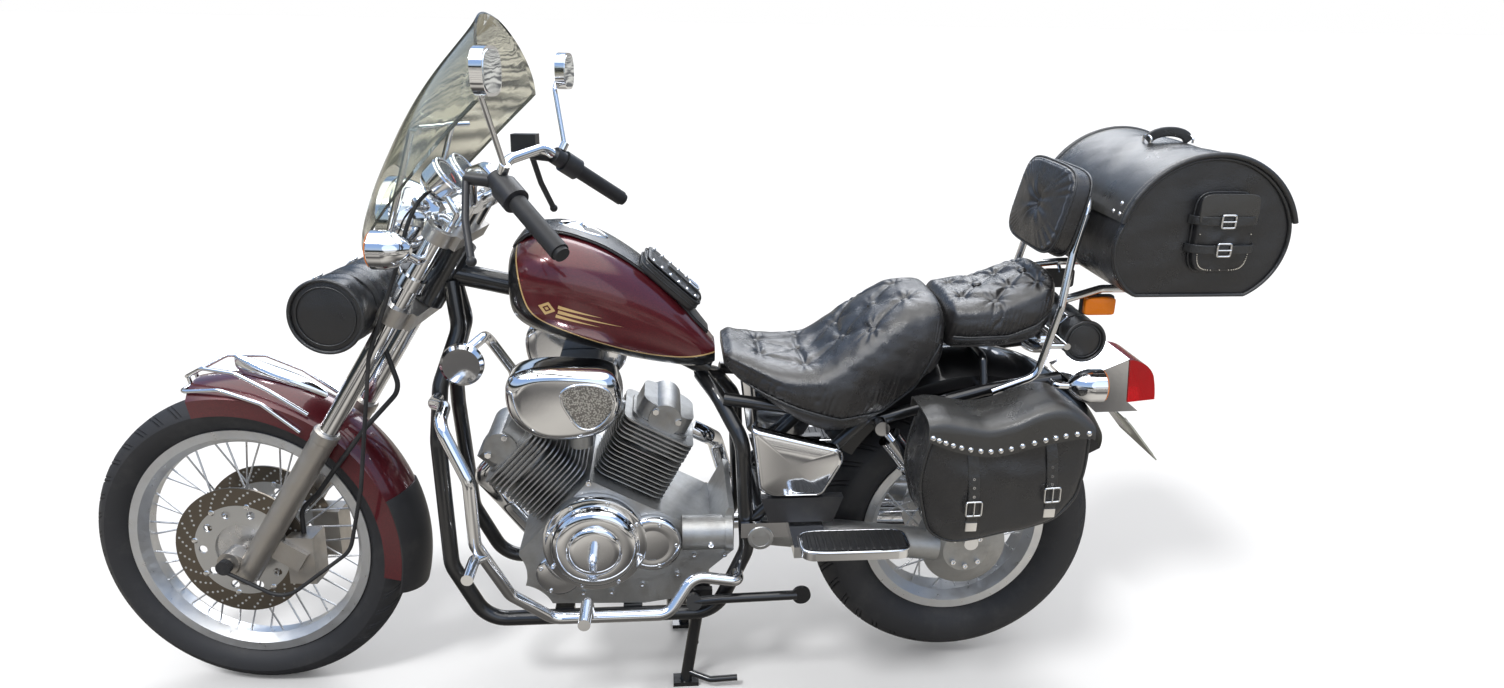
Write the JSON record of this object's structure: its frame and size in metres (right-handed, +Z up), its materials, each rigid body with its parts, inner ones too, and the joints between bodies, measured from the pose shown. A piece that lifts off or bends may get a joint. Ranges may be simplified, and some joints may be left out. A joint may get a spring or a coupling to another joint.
{
  "type": "cruiser motorcycle",
  "caption": "Cruiser motorcycle with wire wheels, an open finned V-twin engine, windshield, studded leather luggage and a centre stand.",
  "frame": {"origin": "on the floor, in the bike's middle plane, halfway along its overall length", "axes": "+X ahead, +Y to the rider's left, +Z up"},
  "size_m": [2.4096, 0.7715, 1.4168],
  "materials": {
    "tyre": "dark rubber",
    "wheel_metal": "satin silver",
    "chrome": "polished",
    "disc_steel": "ground",
    "fork_alloy": "satin",
    "black_plastic": "satin black",
    "black_rubber": "matt",
    "clear_screen": "clear",
    "black_leather": "soft black",
    "maroon_paint": "gloss metallic maroon",
    "black_paint": "gloss black",
    "engine_alloy": "cast",
    "red_lens": "clear red",
    "plate_metal": "painted"
  },
  "bodies": {
    "chassis": {"frame": "black_paint", "crankcase": "engine_alloy", "front_cylinder": "engine_alloy", "rear_cylinder": "engine_alloy", "engine_covers": "chrome", "air_cleaners": "chrome", "exhaust": "chrome", "swingarm": "fork_alloy", "shocks": "chrome", "rear_fender": "maroon_paint", "fuel_tank": "maroon_paint", "rider_seat": "black_leather", "passenger_seat": "black_leather", "side_covers": "chrome", "backrest_pad": "black_leather", "luggage_rack": "chrome", "trunk_bag": "black_leather", "saddlebag_left": "black_leather", "saddlebag_right": "black_leather", "engine_guards": "chrome", "floorboards": "chrome", "tail_light": "red_lens", "number_plate": "plate_metal", "rear_turn_signals": "chrome", "rear_tool_roll": "black_leather", "carburettors": "engine_alloy", "horn": "chrome", "tank_bib": "black_leather", "side_boxes": "black_plastic", "tail_housing": "chrome"},
    "fork": {"fork_yokes": "fork_alloy", "fork_tubes": "chrome", "fork_sliders": "fork_alloy", "brake_calipers": "fork_alloy", "handlebar": "chrome", "hand_grips": "black_rubber", "hand_controls": "black_plastic", "mirrors": "chrome", "headlight": "chrome", "gauges": "chrome", "windshield": "clear_screen", "front_turn_signals": "chrome", "front_tool_roll": "black_leather", "front_fender": "maroon_paint", "windshield_mounts": "chrome", "mudflap": "black_plastic", "front_fender_trim": "chrome", "brake_hose_and_cable": "black_rubber"},
    "front_wheel": {"front_tyre": "tyre", "front_rim": "wheel_metal", "front_hub_spokes": "chrome", "front_discs": "disc_steel"},
    "rear_wheel": {"rear_tyre": "tyre", "rear_rim": "wheel_metal", "rear_hub_spokes": "chrome"},
    "centre_stand": {"centre_stand": "black_paint"},
    "side_stand": {"side_stand": "black_paint"},
    "trunk_lid": {"trunk_bag_lid": "black_leather"},
    "left_bag_lid": {"saddlebag_left_lid": "black_leather"},
    "right_bag_lid": {"saddlebag_right_lid": "black_leather"}
  },
  "joints": [
    {"name": "steering", "type": "hinge", "parent": "chassis", "child": "fork", "pos_m": [1.004, 0, 0], "axis": [-0.5299, 0, 0.848], "range_deg": [-31.4, 44.6]},
    {"name": "front_wheel_spin", "type": "hinge", "parent": "fork", "child": "front_wheel", "pos_m": [0.87463, -0.00759, 0.33077], "axis": [0.0975, 0.9934, 0.0609], "continuous": true},
    {"name": "rear_wheel_spin", "type": "hinge", "parent": "chassis", "child": "rear_wheel", "pos_m": [-0.65, 0, 0.3345], "axis": [0, 1, 0], "continuous": true},
    {"name": "centre_stand_fold", "type": "hinge", "parent": "chassis", "child": "centre_stand", "pos_m": [-0.084, 0, 0.236], "axis": [0, 1, 0], "range_deg": [0, 80]},
    {"name": "side_stand_swing", "type": "hinge", "parent": "chassis", "child": "side_stand", "pos_m": [-0.064, 0.152, 0.24], "axis": [0, -0.9397, -0.342], "range_deg": [0, 92]},
    {"name": "trunk_lid_hinge", "type": "hinge", "parent": "chassis", "child": "trunk_lid", "pos_m": [-0.865, 0, 1.064], "axis": [0, 1, 0], "range_deg": [0, 42]},
    {"name": "left_bag_lid_hinge", "type": "hinge", "parent": "chassis", "child": "left_bag_lid", "pos_m": [-0.675, 0.196, 0.716], "axis": [1, 0, 0], "range_deg": [0, 88]},
    {"name": "right_bag_lid_hinge", "type": "hinge", "parent": "chassis", "child": "right_bag_lid", "pos_m": [-0.675, -0.196, 0.716], "axis": [-1, 0, 0], "range_deg": [0, 88]}
  ]
}
